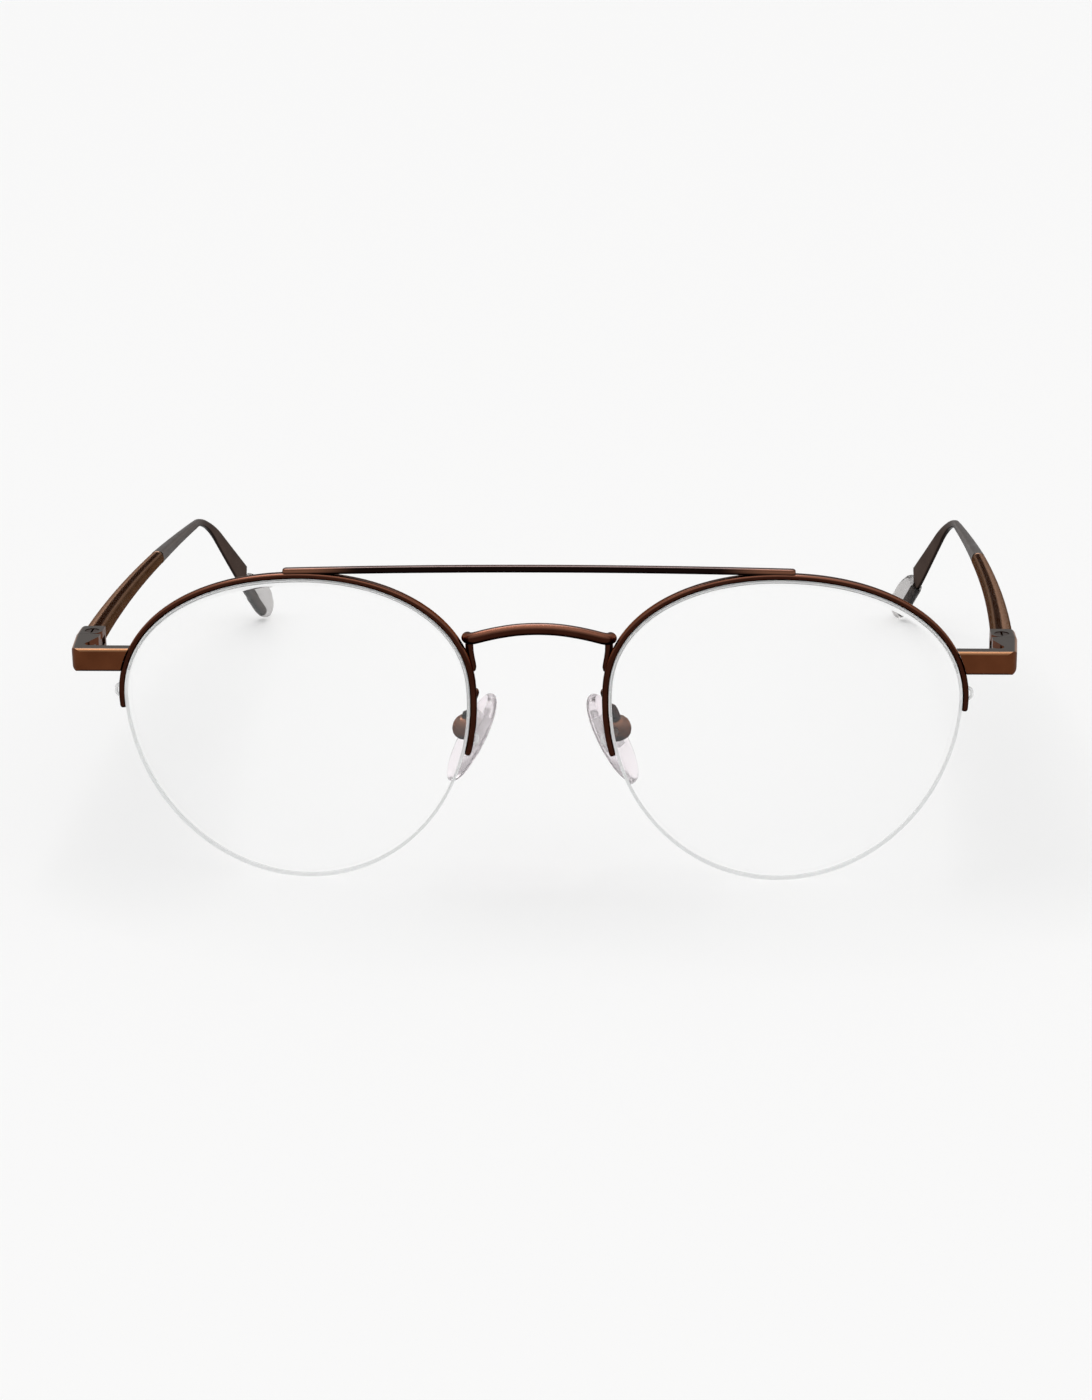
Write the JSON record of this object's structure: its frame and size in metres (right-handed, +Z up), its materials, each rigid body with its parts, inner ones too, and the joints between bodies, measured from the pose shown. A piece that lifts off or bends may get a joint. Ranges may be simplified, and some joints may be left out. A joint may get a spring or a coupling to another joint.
{
  "type": "half-rim eyeglass frame",
  "caption": "Half-rim metal eyeglass frame with a brow bar over a lower bridge, cord-held clear lenses, rocking nose pads and temples that fold on screw hinges.",
  "frame": {"origin": "middle of the footprint, on the table the open frame stands on", "axes": "+Z up from the table, +X to the right seen from in front, -Y toward the front of the lenses, +Y toward the temple tips"},
  "size_m": [0.1436, 0.138, 0.0492],
  "materials": {
    "frame": "dark copper brown metallic, satin gloss",
    "sleeve": "copper brown metallic over fine ribs",
    "screw": "dark brown plated steel",
    "lens": "clear polished demonstration lens",
    "nylon": "clear drawn nylon",
    "insert": "clear hard plastic",
    "pad": "clear soft silicone",
    "tip": "clear plastic"
  },
  "bodies": {
    "frame": {"brow_bar": "frame", "bridge": "frame", "right_rim": "frame", "right_rim_liner": "nylon", "right_lens": "lens", "right_cord": "nylon", "right_pad_arm": "frame", "right_pad_box": "frame", "right_pad_screw": "screw", "right_endpiece": "frame", "left_rim": "frame", "left_rim_liner": "nylon", "left_lens": "lens", "left_cord": "nylon", "left_pad_arm": "frame", "left_pad_box": "frame", "left_pad_screw": "screw", "left_endpiece": "frame"},
    "right_temple": {"right_temple_block": "frame", "right_hinge_screw": "screw", "right_temple_core": "frame", "right_sleeve": "sleeve", "right_tip_cover": "tip"},
    "left_temple": {"left_temple_block": "frame", "left_hinge_screw": "screw", "left_temple_core": "frame", "left_sleeve": "sleeve", "left_tip_cover": "tip"},
    "right_pad": {"right_pad_insert": "insert", "right_nose_pad": "pad"},
    "left_pad": {"left_pad_insert": "insert", "left_nose_pad": "pad"}
  },
  "joints": [
    {"name": "right_temple_fold", "type": "hinge", "parent": "frame", "child": "right_temple", "pos_m": [0.06834, -0.05462, 0.03337], "axis": [0, 0, 1], "range_deg": [0, 88]},
    {"name": "left_temple_fold", "type": "hinge", "parent": "frame", "child": "left_temple", "pos_m": [-0.06834, -0.05462, 0.03337], "axis": [0, 0, -1], "range_deg": [0, 83]},
    {"name": "right_pad_rock", "type": "hinge", "parent": "frame", "child": "right_pad", "pos_m": [0.01161, -0.0615, 0.02269], "axis": [0.3256, 0.9455, 0], "range_deg": [-8, 8]},
    {"name": "left_pad_rock", "type": "hinge", "parent": "frame", "child": "left_pad", "pos_m": [-0.01161, -0.0615, 0.02269], "axis": [0.3256, -0.9455, 0], "range_deg": [-8, 8]}
  ]
}
